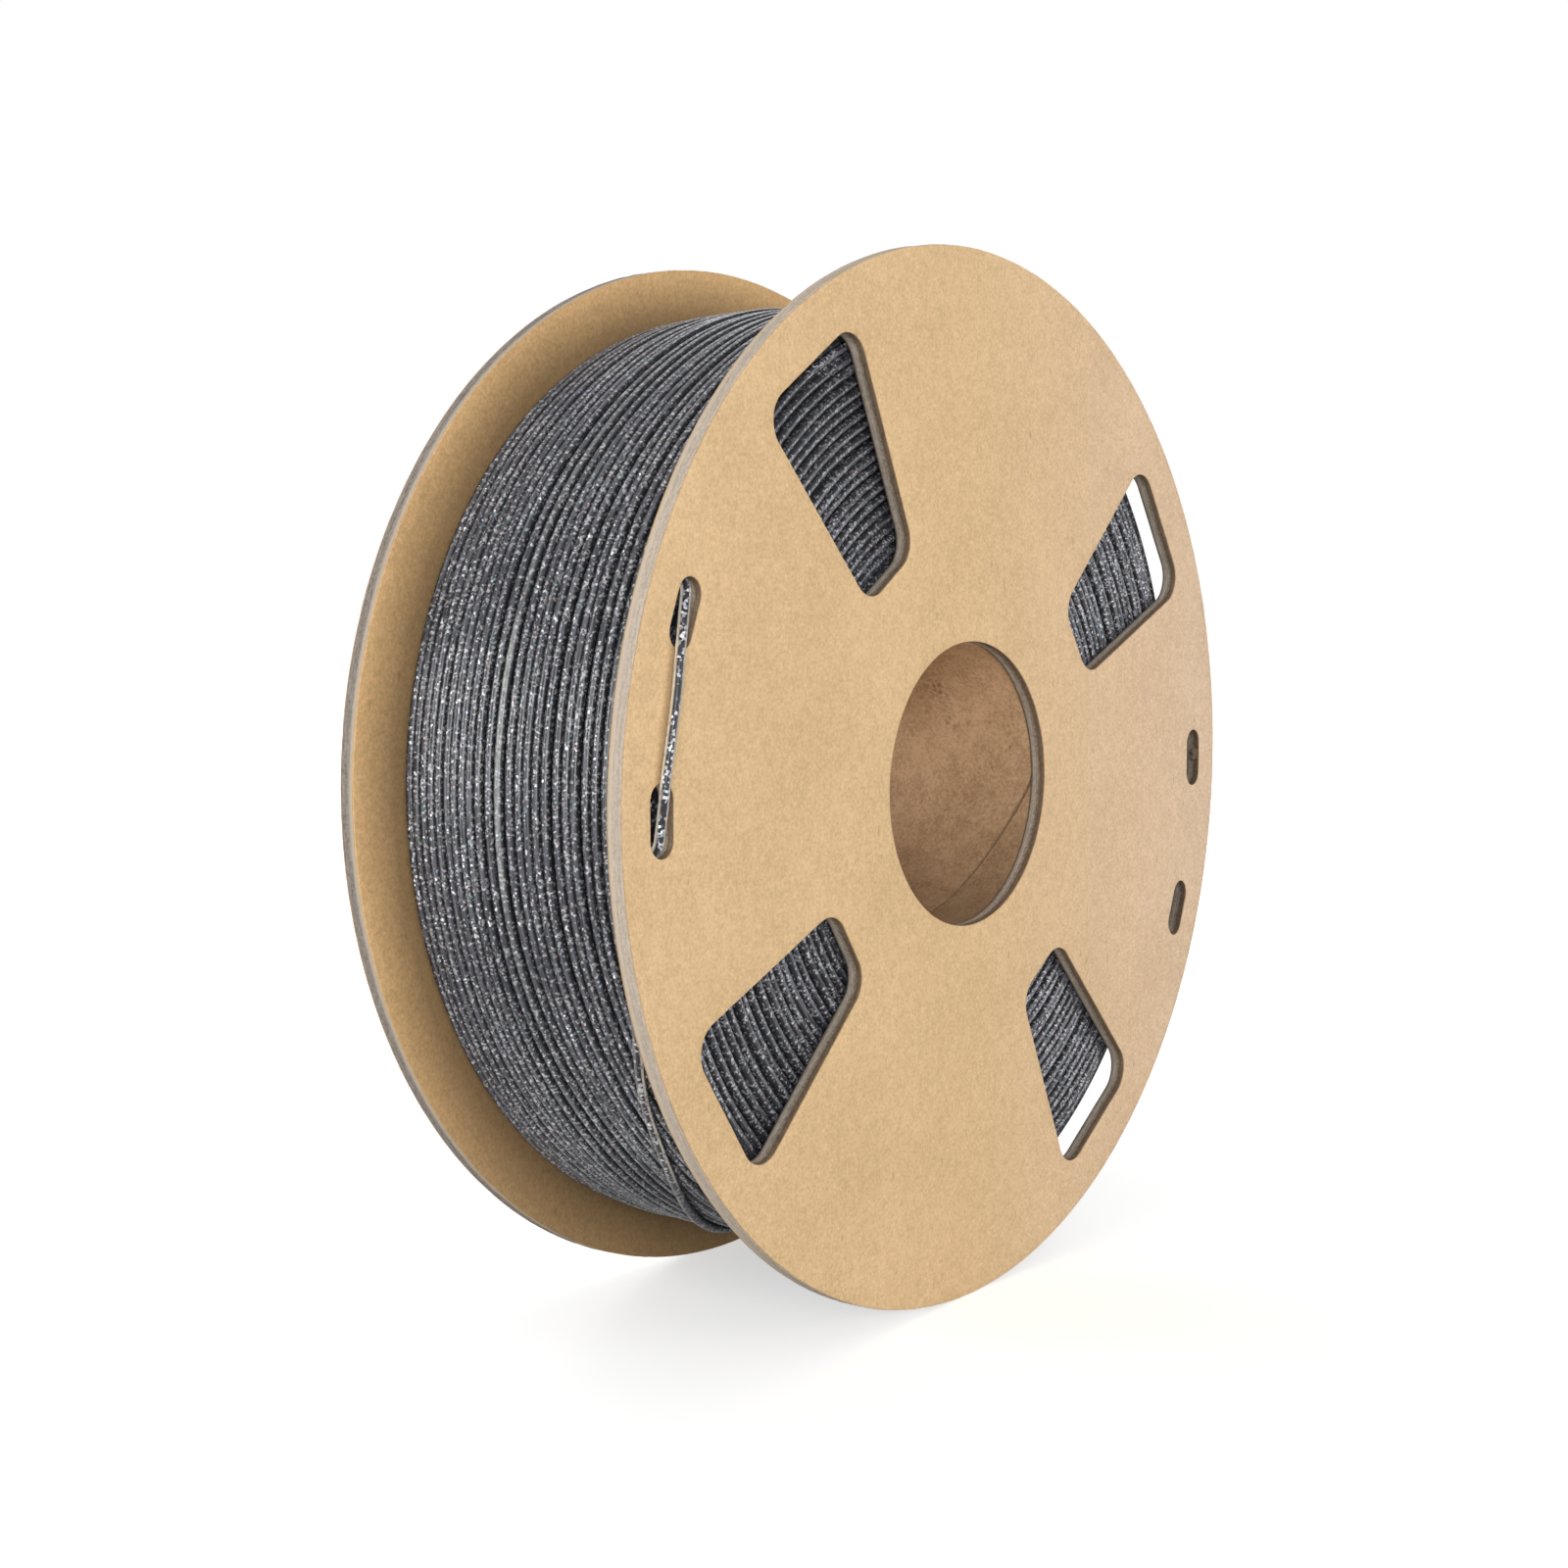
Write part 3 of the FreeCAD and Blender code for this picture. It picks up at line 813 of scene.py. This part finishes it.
def winding_path(places, last_angle, lower=0.0, sink=0.0):
    """Returns an unbroken winding through row positions, and how far each point is in the hollow.

    The winding ends at last_angle. lower takes it nearer the axis, and sink is how deep crowded turns lie.
    """
    count = len(places) - 1
    total = count * STEPS_PER_TURN
    turns = np.arange(total + 1) / STEPS_PER_TURN
    degrees = last_angle + 360 * (count - turns)
    angle = np.radians(degrees)
    row = np.minimum(turns.astype(int), count - 1)
    y = places[row] + (places[row + 1] - places[row]) * (turns - row)
    y = y + ROW_SWAY * smooth_noise(total + 1, STEPS_PER_TURN / 5, False)
    r = np.interp(y, PROFILE_Y, PROFILE_R) - lower
    r = r + SHORT_SWELL * smooth_noise(total + 1, STEPS_PER_TURN / 7, False)
    r = r + LONG_SWELL * smooth_noise(total + 1, STEPS_PER_TURN / 1.4, False)
    below, above = crowding(degrees % 360)
    crowded = (below + above) * (1 - ease((y - 9) / 5))
    hollow = below_free_end(degrees % 360, y)
    r = r - sink * np.maximum(crowded, hollow) * (0.5 - 0.5 * np.cos(math.pi * (degrees - 205) / 360))
    r = r - 0.4 * sink * hollow
    share = np.interp(y, (4.5, 9, 13, 20, 34, 42, 50, 58), (0, 0.45, 0.8, 1, 1, 0.5, 0.2, 0))
    y = y - LEAN_BELOW * below * share
    share = np.interp(y, (4.5, 10, 20, 42, 52, 60), (0, 0.5, 1, 1, 0.6, 0))
    y = y - LEAN_ABOVE * above * share
    return on_ring(r, angle, y), hollow


def between(places):
    """Returns the places halfway between neighbours."""
    return (places[:-1] + places[1:]) / 2


TOP_END_ANGLE = 258.0
REAR_END_ANGLE = 243.0
UNDER_LAYER_DEPTH = 1.45
PROUD_SHARE = 0.0034

top_places = rows(5.2, 38.0, 2.15, 1.86, 2.5)
top_path, hollow = winding_path(top_places, TOP_END_ANGLE, 0, 1.3)
# The last turn of the top layer stands a little proud on the left, and has a painted highlight there
before_end = np.linspace(360 * (len(top_places) - 1), 0, len(top_path))
proud = ease((before_end - 190) / 25) * (1 - ease((before_end - 296) / 20))
top_path *= 1 + [[PROUD_SHARE, 0, PROUD_SHARE]] * proud[:, None]
painted_light = 0.3 * proud + 0.9 * ease((before_end - 258) / 8) * (1 - ease((before_end - 288) / 8))
# The turns in the hollow below the free end are painted darker as shade
top_turns = strands_piece("filament_top", [top_path],
                          pale=painted_light[:, None] * line_round(14, 50, 12) - hollow[:, None])
dress(top_turns, filament)
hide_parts("filament_top_turns")

rear_places = rows(38.4, 59.9, 1.98, 1.84, 2.2)
rear_path = winding_path(rear_places, REAR_END_ANGLE)[0]
rear_turns = strands_piece("filament_rear", [rear_path])
dress(rear_turns, filament)
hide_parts("filament_rear_turns")

under_paths = [winding_path(between(top_places), TOP_END_ANGLE, UNDER_LAYER_DEPTH)[0],
               winding_path(between(rear_places), REAR_END_ANGLE, UNDER_LAYER_DEPTH)[0]]
under_turns = strands_piece("filament_under", under_paths, sides=8)
dress(under_turns, filament_side)


SIDE_END_RADIUS = 87.0
SIDE_SPREAD = 0.7
SIDE_SWAY = 0.14
SIDE_SPACING = (1.92, 2.18)


def front_setback(radius):
    """Returns how far the winding's front side draws back near its outside."""
    return 1.1 * max(0.0, (radius - 85.2) / 2.4)


def side_rings(first_radius, depth):
    """Returns the strands at the front side of the winding, as rings of uneven depth."""
    paths = []
    radius = first_radius
    count = 200
    while radius < SIDE_END_RADIUS:
        angle = -np.arange(count + 1) * 2 * math.pi / count
        rise = SIDE_SPREAD * np.clip(0.5 + 0.5 * smooth_noise(count, 40), 0, 1)
        sway = SIDE_SWAY * smooth_noise(count, 30)
        rise, sway = np.append(rise, rise[0]), np.append(sway, sway[0])
        r = radius + sway
        y = depth + rise + front_setback(radius)
        paths.append(on_ring(r, angle, y))
        radius += RNG.uniform(*SIDE_SPACING)
    return paths


side_paths = side_rings(44.0, 4.4) + side_rings(45.0, 5.6)
side_turns = strands_piece("filament_side", side_paths, sides=10, facing=math.pi / 2)
dress(side_turns, filament_side)


def lathe(name, profile):
    """Makes a closed ring about the spool's axis from a profile of radii and depths."""
    count = 240
    turn = np.arange(count) * 2 * math.pi / count
    points = [on_ring(radius, turn, np.full(count, depth)) for radius, depth in profile]
    faces = []
    for ring in range(len(profile)):
        here = ring * count
        there = (ring + 1) % len(profile) * count
        for index in range(count):
            beyond = (index + 1) % count
            faces.append([here + index, there + index, there + beyond, here + beyond])
    piece = make_piece(name, np.concatenate(points), faces)
    smooth_by_angle(piece)
    return piece


core = lathe("filament_core", [
    (TUBE_OUTER_RADIUS, 4.0), (44.5, 4.0), (44.5, 6.4), (86.0, 6.4), (87.6, 8.0), (87.9, 38.4), (88.1, 44.0),
    (87.4, 58.6), (86.5, 60.4), (TUBE_OUTER_RADIUS, 60.4)])
dress(core, filament_dark)
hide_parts("filament_inner_layers")

# The free end, threaded through two slots: its angles, distances from the rim and depths

FREE_END_ROUTE = [
    (252.8, 9.5, 37.5), (248.5, 8.5, 36.2), (242.0, 8.35, 32.5), (236.0, 8.35, 28.3),
    (231.0, 8.35, 24.9), (226.0, 8.35, 21.8), (220.5, 8.35, 19.1), (215.0, 8.35, 17.0),
    (210.0, 8.35, 14.9), (204.3, 8.4, 11.8), (199.0, 8.45, 9.2), (194.0, 8.5, 7.3),
    (190.0, 8.65, 6.0), (187.5, 8.8, 5.1), (185.3, 9.1, 4.3), (182.9, 10.0, 1.35),
    (180.9, 9.7, 0.45), (178.5, 9.3, -0.5), (176.0, 9.0, -1.08), (172.0, 9.6, -1.2),
    (166.9, 9.75, -1.3), (163.0, 8.95, -1.25), (160.2, 9.05, -0.55), (157.5, 9.5, 0.6),
    (155.4, 9.7, 1.45), (153.9, 9.2, 4.2), (151.3, 8.9, 4.6), (147.5, 8.85, 5.0),
]


def route_point(angle, rim_distance, depth):
    """Returns one point of the free end's route."""
    return on_ring(FLANGE_RADIUS - rim_distance, math.radians(angle), depth)


def smooth_route(points):
    """Returns a quadratic spline that has the points as its control points."""
    per_bend = 14
    path = [points[0]]
    middles = [points[0]] + [(a + b) / 2 for a, b in zip(points[1:-2], points[2:-1])] + [points[-1]]
    for start, corner, end in zip(middles, points[1:-1], middles[1:]):
        for index in range(1, per_bend + 1):
            t = index / per_bend
            path.append(start * (1 - t) ** 2 + corner * 2 * t * (1 - t) + end * t ** 2)
    return np.array(path)


LEAD_IN_LENGTH = 2.4
lead_in = top_path[-1] + unit(top_path[-1] - top_path[-2]) * LEAD_IN_LENGTH
free_points = smooth_route([top_path[-1], lead_in] + [route_point(*stop) for stop in FREE_END_ROUTE])
FREE_SIDES = 36
# Painted highlights along it: at the left, strongest on the face, in the middle of its stretch over the
# winding, and at the right on the face
outside = 1 - ease((free_points[:, 1:2] - FRONT - 1) / 3)
left_line = np.minimum(1, 2.4 * line_round(-26, 40, FREE_SIDES)) * (0.25 + 0.75 * outside)
fading = 1 - ease((free_points[:, 1:2] - FRONT - 20) / 5)
middle_line = np.minimum(1, 2.0 * line_round(72, 20, FREE_SIDES)) * (1 - outside) * fading
right_line = np.minimum(1, 2.0 * line_round(108, 26, FREE_SIDES)) * 0.5 * outside
free_end = strands_piece("filament_free", [free_points], sides=FREE_SIDES,
                         pale=np.maximum(left_line, np.maximum(middle_line, right_line)))
dress(free_end, filament_edge)
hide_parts("filament_free_end")

# The flanges, layer by layer

# Each layer's name and thickness, and how far its edge stays inside the flange's radius
LAYERS = (
    ("outer_liner", 0.3, 0.1), ("outer_board", 0.9, 0.02), ("middle_board", 0.9, 0.07),
    ("inner_board", 0.9, 0.03), ("inner_liner", 0.3, 0.1),
)
LINER_BEVEL = 0.09
LINER_RAGGEDNESS = 0.02
BOARD_BEVEL = 0.07
BOARD_RAGGEDNESS = 0.035
SKIN_GRID_STEP = 2.2
NICK_CLEARANCE = 0.06
NICKED_LAYERS = ("middle_board", "inner_board", "inner_liner")

nick_points, nick_faces, _ = strand(free_points, STRAND_RADIUS + NICK_CLEARANCE, 20)
nick_cutter = make_piece("nick_cutter", nick_points, nick_faces)


def cut_nicks(piece):
    """Presses the nicks of the free end into a layer."""
    cut = piece.modifiers.new("nicks", "BOOLEAN")
    cut.operation = "DIFFERENCE"
    cut.solver = "EXACT"
    cut.object = nick_cutter
    bpy.context.view_layer.update()
    evaluated = piece.evaluated_get(bpy.context.evaluated_depsgraph_get())
    mesh = bpy.data.meshes.new_from_object(evaluated)
    piece.modifiers.clear()
    piece.data = mesh


SKINS = {
    ("front", "outer_liner"): kraft_front, ("front", "inner_liner"): kraft_winding_shaded,
    ("rear", "inner_liner"): kraft_inner, ("rear", "outer_liner"): kraft,
}

for side_name, board in (("front", board_front), ("rear", board_rear)):
    is_front = side_name == "front"
    depth = 0.0
    for layer, thickness, shrink in LAYERS:
        paper = "liner" in layer
        outermost = layer == "outer_liner"
        outlines = flange_outlines(FLANGE_RADIUS - shrink, is_front)
        low = depth if is_front else 2 * FLANGE_THICKNESS + INNER_WIDTH - depth - thickness
        shown = outermost or (paper and not is_front)
        piece = make_layer(
            f"{side_name}_{layer}_cut", outlines, low, low + thickness,
            bevel=LINER_BEVEL if paper else BOARD_BEVEL,
            rough=LINER_RAGGEDNESS if paper else BOARD_RAGGEDNESS,
            grid_step=SKIN_GRID_STEP if shown else 0.0,
            warp=front_warp if is_front and outermost else face_warp,
            warp_low=is_front == outermost)
        if is_front and layer in NICKED_LAYERS:
            cut_nicks(piece)
        material = SKINS[side_name, layer] if paper else board
        dress(piece, material)
        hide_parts(f"{side_name}_{layer}")
        depth += thickness
bpy.data.objects.remove(nick_cutter)

# A scrap of torn board left in one of the empty slots, which holds on to the slot's outer wall

SCRAP_OUTLINE = (
    (93.3, 2.1), (92.6, 1.5), (91.9, 1.9), (91.1, 1.2), (91.6, 0.4), (90.9, -0.3), (91.9, -0.9), (92.5, -0.4),
    (93.3, -1.0),
)
SCRAP_DEPTH = 0.42
SCRAP_THICKNESS = 0.28
SCRAP_CURL = 0.5


def make_scrap():
    """Makes the scrap, which curls backwards away from its wall."""
    outline = np.array(SCRAP_OUTLINE)
    reach = outline[:, 0].max() - outline[:, 0]
    curl = SCRAP_CURL * (reach / reach.max()) ** 2
    points = []
    for depth in (SCRAP_DEPTH, SCRAP_DEPTH + SCRAP_THICKNESS):
        points.append(np.stack([outline[:, 0], depth + curl + FRONT, outline[:, 1]], 1))
    count = len(outline)
    faces = [list(range(count)), list(range(2 * count - 1, count - 1, -1))]
    for index in range(count):
        after = (index + 1) % count
        faces.append([index, index + count, after + count, after])
    piece = make_piece("torn_scrap", np.concatenate(points), faces, False)
    smooth_by_angle(piece)
    return piece


dress(make_scrap(), board_front)

# The tube's inner ply, a spiral strip with a seam

SEAM_LEAD = 51.0
SEAM_ANGLE = -2.7
SEAM_Y = 3.5
SEAM_GAP = 0.8
SEAM_WEAR = 0.03
SEAM_BULGE = 2.5
SEAM_BULGE_DEGREES = 78
PLY_END_GAP = 0.2


def make_inner_ply():
    """Makes the strip, wound past both ends of the tube and then cut off there."""
    start = FLANGE_THICKNESS + PLY_END_GAP
    end = FLANGE_THICKNESS + INNER_WIDTH - PLY_END_GAP
    width = SEAM_LEAD - SEAM_GAP
    across = [SEAM_GAP / 2 + width * part for part in (0, 0.003, 0.2, 0.4, 0.6, 0.8, 0.997, 1)]
    worn_radius = TUBE_INNER_RADIUS + SEAM_WEAR
    outer_radius = TUBE_INNER_RADIUS + TUBE_PLY_THICKNESS
    profile = [(worn_radius, across[0])] + [(TUBE_INNER_RADIUS, value) for value in across[1:-1]]
    profile += [(worn_radius, across[-1]), (outer_radius, across[-1]), (outer_radius, across[0])]
    radii, places = np.array(profile).T
    turns_before = (end - SEAM_Y) / SEAM_LEAD + 0.2
    turns_after = (SEAM_Y + SEAM_LEAD - start) / SEAM_LEAD + 0.2
    degrees = np.arange(-360 * turns_before, 360 * turns_after + 2, 2.0)
    rings = []
    for value in degrees:
        turn = math.radians(SEAM_ANGLE + value)
        shift = SEAM_Y - SEAM_LEAD * value / 360
        shift += SEAM_BULGE * math.sin(math.pi * min((-value % 360) / SEAM_BULGE_DEGREES, 1.0))
        rings.append(on_ring(radii, turn, shift + places))
    piece = make_piece("core_ply_strip", np.concatenate(rings), tube_faces(len(rings), len(profile)))
    bm = bmesh.new()
    bm.from_mesh(piece.data)
    for y, normal in ((start, -1), (end, 1)):
        geometry = bm.verts[:] + bm.edges[:] + bm.faces[:]
        cut = bmesh.ops.bisect_plane(bm, geom=geometry, dist=1e-8, plane_co=(0, (y + FRONT) * MM, 0),
                                     plane_no=(0, normal, 0), clear_outer=True)
        edges = [item for item in cut["geom_cut"] if isinstance(item, bmesh.types.BMEdge)]
        bmesh.ops.holes_fill(bm, edges=edges)
    bmesh.ops.recalc_face_normals(bm, faces=bm.faces)
    bm.to_mesh(piece.data)
    bm.free()
    smooth_by_angle(piece)
    return piece


inner_ply = make_inner_ply()
dress(inner_ply, tube_paper)
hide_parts("core_inner_ply")

# The hidden solids, which keep their shapes and only get materials

for node, material in (
        ("core_inner_body", tube_board), ("core_outer_body", tube_board), ("core_outer_ply", tube_paper),
        ("front_glue_ring", adhesive), ("rear_glue_ring", adhesive)):
    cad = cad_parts[node]
    cad.data.materials.clear()
    cad.data.materials.append(material)

# Stage: a white floor that keeps the shadow, and a white surround

FLOOR_REACH = 12.0
SURROUND_STRENGTH = 0.34


def background_ray(n):
    """Returns 1 for rays that see the background itself: camera, mirror and glass rays."""
    path = n.add("ShaderNodeLightPath")
    direct = n.math("MAXIMUM", path.outputs["Is Camera Ray"], path.outputs["Is Glossy Ray"])
    return n.math("MAXIMUM", direct, path.outputs["Is Transmission Ray"])


def mixed_shaders(n, factor, first, second):
    """Returns two shaders mixed."""
    node = n.add("ShaderNodeMixShader")
    for socket, value in zip(node.inputs, (factor, first, second)):
        n.feed(socket, value)
    return node.outputs[0]


def diffuse(n, grey):
    """Returns a plain dull shader."""
    node = n.add("ShaderNodeBsdfDiffuse")
    node.inputs["Color"].default_value = (grey, grey, grey, 1)
    return node.outputs[0]


def make_floor():
    """Makes the floor, which glows less round the spool, so that its shadow shows there."""
    mesh = bpy.data.meshes.new("floor")
    corners = [(FLOOR_REACH * x, FLOOR_REACH * y, cad_low.z) for x, y in ((-1, -1), (1, -1), (1, 1), (-1, 1))]
    mesh.from_pydata(corners, [], [(0, 1, 2, 3)])
    floor = add_object("floor", mesh)
    n = Nodes("floor")
    n.tree.nodes.remove(n.shader)
    away = n.add("ShaderNodeVectorMath", operation="LENGTH")
    n.feed(away.inputs[0], n.place)
    glow = n.add("ShaderNodeEmission")
    n.feed(glow.inputs["Strength"], n.level(away.outputs["Value"], 0.2, 0.8, 0.56, 1.0))
    seen = n.add("ShaderNodeAddShader")
    n.feed(seen.inputs[0], diffuse(n, 0.8))
    n.feed(seen.inputs[1], glow.outputs[0])
    shader = mixed_shaders(n, background_ray(n), diffuse(n, 0.5), seen.outputs[0])
    n.feed(n.tree.nodes["Material Output"].inputs[0], shader)
    floor.data.materials.append(n.material)
    floor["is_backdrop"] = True


def make_world():
    """Makes a surround that lights evenly and is seen as white."""
    world = bpy.data.worlds.new("surround")
    bpy.context.scene.world = world
    world.use_nodes = True
    n = Tree(world.node_tree)
    light = n.tree.nodes["Background"]
    white = n.add("ShaderNodeBackground")
    for node, strength in ((light, SURROUND_STRENGTH), (white, 1.0)):
        node.inputs["Color"].default_value = (1, 1, 1, 1)
        node.inputs["Strength"].default_value = strength
    shader = mixed_shaders(n, background_ray(n), light.outputs[0], white.outputs[0])
    n.feed(n.tree.nodes["World Output"].inputs[0], shader)


def make_lamp(name, place, size, power):
    """Makes a square lamp that points at the spool's middle."""
    data = bpy.data.lights.new(name, "AREA")
    data.shape = "SQUARE"
    data.size = size
    data.energy = power
    lamp = add_object(name, data)
    lamp.location = place
    lamp.rotation_euler = (-Vector(place)).to_track_quat("-Z", "Y").to_euler()


make_floor()
make_world()
make_lamp("key", (-1.3, -1.1, 0.24), 0.8, 17)
make_lamp("front", (0.6, -1.7, 0.05), 1.0, 18)
make_lamp("behind", (-1.3, 0.9, 0.45), 0.6, 6)
make_lamp("rear", (0.9, 1.5, 0.4), 1.0, 16)

# Camera, fitted to the photograph's edges with its centre held at the pixel CENTRE_X, CENTRE_Y

IMAGE_WIDTH = 1600
CENTRE_X = 900
CENTRE_Y = 870
FOCAL_PIXELS = 2396.6
SENSOR_WIDTH = 36
AZIMUTH = math.radians(-54.847)
ELEVATION = math.radians(6.411)
DISTANCE = 0.424805
TARGET = Vector((-0.029558, -0.0321, -0.010422))
back = Vector((math.sin(AZIMUTH) * math.cos(ELEVATION), -math.cos(AZIMUTH) * math.cos(ELEVATION),
               math.sin(ELEVATION)))
camera_data = bpy.data.cameras.new("camera")
camera_data.sensor_width = SENSOR_WIDTH
camera_data.lens = SENSOR_WIDTH * FOCAL_PIXELS / IMAGE_WIDTH
camera_data.shift_x = (IMAGE_WIDTH / 2 - CENTRE_X) / IMAGE_WIDTH
camera_data.shift_y = (CENTRE_Y - IMAGE_WIDTH / 2) / IMAGE_WIDTH
camera = add_object("camera", camera_data)
camera.location = TARGET + back * DISTANCE
camera.rotation_mode = "QUATERNION"
camera.rotation_quaternion = (-back).to_track_quat("-Z", "Y")
bpy.context.scene.camera = camera
bpy.context.scene.view_settings.view_transform = "Standard"

low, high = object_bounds()
